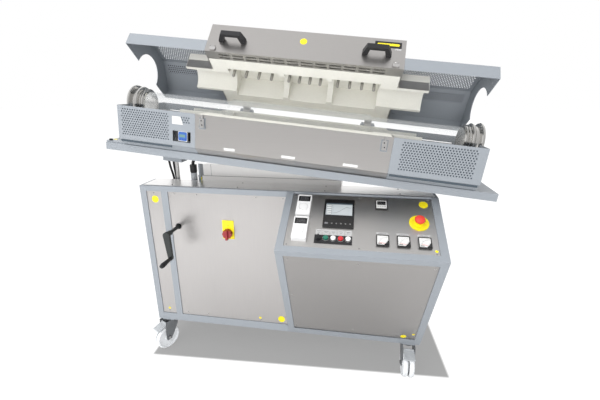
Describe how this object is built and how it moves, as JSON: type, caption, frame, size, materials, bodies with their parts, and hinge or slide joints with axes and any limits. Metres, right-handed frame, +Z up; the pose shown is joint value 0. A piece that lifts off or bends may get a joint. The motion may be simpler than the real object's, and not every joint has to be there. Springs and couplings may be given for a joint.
{
  "type": "tube furnace",
  "caption": "Split tube furnace with an opening lid on a tilting frame, carried by a wheeled base cabinet with a sloping control console and a crank lift.",
  "frame": {"origin": "on the floor, under the middle of the part's box with the furnace tilted and the lid open as stored", "axes": "+X to the right seen from the front, along the furnace; +Y from the front to the back; +Z up"},
  "size_m": [1.6074, 0.8686, 1.5778],
  "materials": {
    "frame_paint": "grey powder coat, satin",
    "stainless": "fine horizontal brushing",
    "stainless_vertical": "fine vertical brushing",
    "bright_steel": "polished",
    "turned_steel": "turned",
    "castor_grey": "moulded",
    "castor_white": "moulded",
    "fork_metal": "zinc and paint",
    "box_white": "moulded, satin",
    "black_plastic": "moulded, satin",
    "touch_glass": "gloss",
    "meter_black": "gloss",
    "button_green": "gloss",
    "button_white": "gloss",
    "button_red": "gloss",
    "estop_red": "gloss",
    "signal_yellow": "satin",
    "switch_red": "gloss",
    "cast_black": "black coat",
    "conduit_black": "ribbed",
    "insulation": "vacuum formed fibre, matt",
    "display_blue": "satin",
    "tube_glass": "fused quartz",
    "element_steel": "oxidised"
  },
  "bodies": {
    "base": {"base_frame": "frame_paint", "front_panels": "stainless_vertical", "console_front_panel": "stainless_vertical", "control_panel": "stainless", "side_panels": "stainless_vertical", "rear_panel": "stainless_vertical", "top_plate": "stainless", "chassis_cover": "stainless", "bottom_tray": "stainless", "pedestal": "stainless", "pivot_bearings": "cast_black", "castor_plates": "frame_paint", "instrument_boxes": "box_white", "touch_controller": "touch_glass", "panel_meters": "meter_black", "button_strip": "black_plastic", "estop_collar": "signal_yellow", "main_switch_plate": "signal_yellow", "screw_jack": "cast_black", "conduit_glands": "black_plastic", "conduits": "conduit_black"},
    "tilt": {"tilting_frame": "frame_paint", "lift_bracket": "stainless", "lower_centre_casing": "stainless", "lower_end_housings": "frame_paint", "lower_insulation": "insulation", "tube_rests": "stainless", "display_module": "display_blue", "hinge_brackets": "frame_paint", "work_tube": "tube_glass", "tube_flanges": "turned_steel"},
    "lid": {"lid_centre_casing": "stainless", "lid_end_covers": "frame_paint", "lid_insulation": "insulation", "heating_elements": "element_steel", "lid_handles": "black_plastic"},
    "latch_l": {"latch_left": "bright_steel"},
    "latch_r": {"latch_right": "bright_steel"},
    "spindle": {"lift_spindle": "bright_steel"},
    "crank": {"crank_arm": "cast_black"},
    "grip": {"crank_grip": "black_plastic"},
    "selector": {"selector_knob": "black_plastic"},
    "button_green": {"green_button": "button_green"},
    "button_white_1": {"white_button_1": "button_white"},
    "button_red": {"red_button": "button_red"},
    "button_white_2": {"white_button_2": "button_white"},
    "estop": {"estop_mushroom": "estop_red"},
    "main_switch": {"main_switch_handle": "switch_red"},
    "dial_1": {"dial_upper": "box_white"},
    "dial_2": {"dial_lower": "box_white"},
    "fork_1": {"castor_fork_1": "fork_metal"},
    "wheels_1": {"castor_wheels_1": "castor_white"},
    "fork_2": {"castor_fork_2": "fork_metal"},
    "wheels_2": {"castor_wheels_2": "castor_white"},
    "fork_3": {"castor_fork_3": "fork_metal"},
    "wheels_3": {"castor_wheels_3": "castor_white"},
    "fork_4": {"castor_fork_4": "fork_metal"},
    "wheels_4": {"castor_wheels_4": "castor_white"},
    "pedal_1": {"brake_pedal_1": "castor_grey"},
    "pedal_2": {"brake_pedal_2": "castor_grey"}
  },
  "joints": [
    {"name": "tilt_hinge", "type": "hinge", "parent": "base", "child": "tilt", "pos_m": [0.00035, 0.03123, 0.986], "axis": [0, 1, 0], "range_deg": [-5.9, 2.5], "deforming": ["conduits"]},
    {"name": "lid_hinge", "type": "hinge", "parent": "tilt", "child": "lid", "pos_m": [0.02193, 0.12423, 1.19489], "axis": [-0.9947, 0, 0.1028], "range_deg": [-36.4, 20]},
    {"name": "latch_left_hinge", "type": "hinge", "parent": "tilt", "child": "latch_l", "pos_m": [-0.33502, -0.27977, 1.18453], "axis": [0.9947, 0, -0.1028], "range_deg": [0, 60]},
    {"name": "latch_right_hinge", "type": "hinge", "parent": "tilt", "child": "latch_r", "pos_m": [0.36923, -0.27977, 1.11175], "axis": [0.9947, 0, -0.1028], "range_deg": [0, 60]},
    {"name": "spindle_slide", "type": "slide", "parent": "base", "child": "spindle", "axis": [0, 0, 1], "range_m": [-0.064, 0.0275]},
    {"name": "crank_hinge", "type": "hinge", "parent": "base", "child": "crank", "pos_m": [-0.55365, -0.16577, 0.703], "axis": [0, 1, 0], "range_deg": [-2300, 990]},
    {"name": "grip_spin", "type": "hinge", "parent": "crank", "child": "grip", "pos_m": [-0.54669, -0.31577, 0.58921], "axis": [0, 1, 0], "continuous": true},
    {"name": "selector_turn", "type": "hinge", "parent": "base", "child": "selector", "pos_m": [0.14035, -0.37288, 0.78273], "axis": [0, -0.5, 0.866], "range_deg": [-45, 45]},
    {"name": "button_green_press", "type": "slide", "parent": "base", "child": "button_green", "axis": [0, 0.5, -0.866], "range_m": [0, 0.003], "stiffness_N_per_m": 500, "springref_m": -0.002},
    {"name": "button_white_1_press", "type": "slide", "parent": "base", "child": "button_white_1", "axis": [0, 0.5, -0.866], "range_m": [0, 0.003], "stiffness_N_per_m": 500, "springref_m": -0.002},
    {"name": "button_red_press", "type": "slide", "parent": "base", "child": "button_red", "axis": [0, 0.5, -0.866], "range_m": [0, 0.003], "stiffness_N_per_m": 500, "springref_m": -0.002},
    {"name": "button_white_2_press", "type": "slide", "parent": "base", "child": "button_white_2", "axis": [0, 0.5, -0.866], "range_m": [0, 0.003], "stiffness_N_per_m": 500, "springref_m": -0.002},
    {"name": "estop_press", "type": "slide", "parent": "base", "child": "estop", "axis": [0, 0.5, -0.866], "range_m": [0, 0.004]},
    {"name": "main_switch_turn", "type": "hinge", "parent": "base", "child": "main_switch", "pos_m": [-0.30365, -0.16577, 0.686], "axis": [0, 1, 0], "range_deg": [-90, 0]},
    {"name": "dial_1_turn", "type": "hinge", "parent": "base", "child": "dial_1", "pos_m": [0.06635, -0.25914, 0.86572], "axis": [0, -0.5, 0.866], "range_deg": [-150, 150]},
    {"name": "dial_2_turn", "type": "hinge", "parent": "base", "child": "dial_2", "pos_m": [0.06635, -0.36219, 0.80622], "axis": [0, -0.5, 0.866], "range_deg": [-150, 150]},
    {"name": "swivel_1", "type": "hinge", "parent": "base", "child": "fork_1", "pos_m": [-0.67665, -0.13077, 0.15], "axis": [0, 0, 1], "continuous": true},
    {"name": "wheels_1_spin", "type": "hinge", "parent": "fork_1", "child": "wheels_1", "pos_m": [-0.69731, -0.16962, 0.0625], "axis": [0.8829, -0.4695, 0], "continuous": true},
    {"name": "pedal_1_press", "type": "hinge", "parent": "fork_1", "child": "pedal_1", "pos_m": [-0.69731, -0.16962, 0.138], "axis": [0.8829, -0.4695, 0], "range_deg": [0, 12]},
    {"name": "swivel_2", "type": "hinge", "parent": "base", "child": "fork_2", "pos_m": [0.56335, -0.13077, 0.15], "axis": [0, 0, 1], "continuous": true},
    {"name": "wheels_2_spin", "type": "hinge", "parent": "fork_2", "child": "wheels_2", "pos_m": [0.56335, -0.17477, 0.0625], "axis": [1, 0, 0], "continuous": true},
    {"name": "pedal_2_press", "type": "hinge", "parent": "fork_2", "child": "pedal_2", "pos_m": [0.56335, -0.17477, 0.138], "axis": [1, 0, 0], "range_deg": [0, 12]},
    {"name": "swivel_3", "type": "hinge", "parent": "base", "child": "fork_3", "pos_m": [-0.67665, 0.39923, 0.15], "axis": [0, 0, 1], "continuous": true},
    {"name": "wheels_3_spin", "type": "hinge", "parent": "fork_3", "child": "wheels_3", "pos_m": [-0.6675, 0.35619, 0.0625], "axis": [0.9781, 0.2079, 0], "continuous": true},
    {"name": "swivel_4", "type": "hinge", "parent": "base", "child": "fork_4", "pos_m": [0.56335, 0.39923, 0.15], "axis": [0, 0, 1], "continuous": true},
    {"name": "wheels_4_spin", "type": "hinge", "parent": "fork_4", "child": "wheels_4", "pos_m": [0.55722, 0.35566, 0.0625], "axis": [0.9903, -0.1392, 0], "continuous": true}
  ],
  "couplings": [
    {"joint": "spindle_slide", "follows": "tilt_hinge", "m_per_rad": 0.615},
    {"joint": "crank_hinge", "follows": "tilt_hinge", "ratio": 385.16}
  ]
}
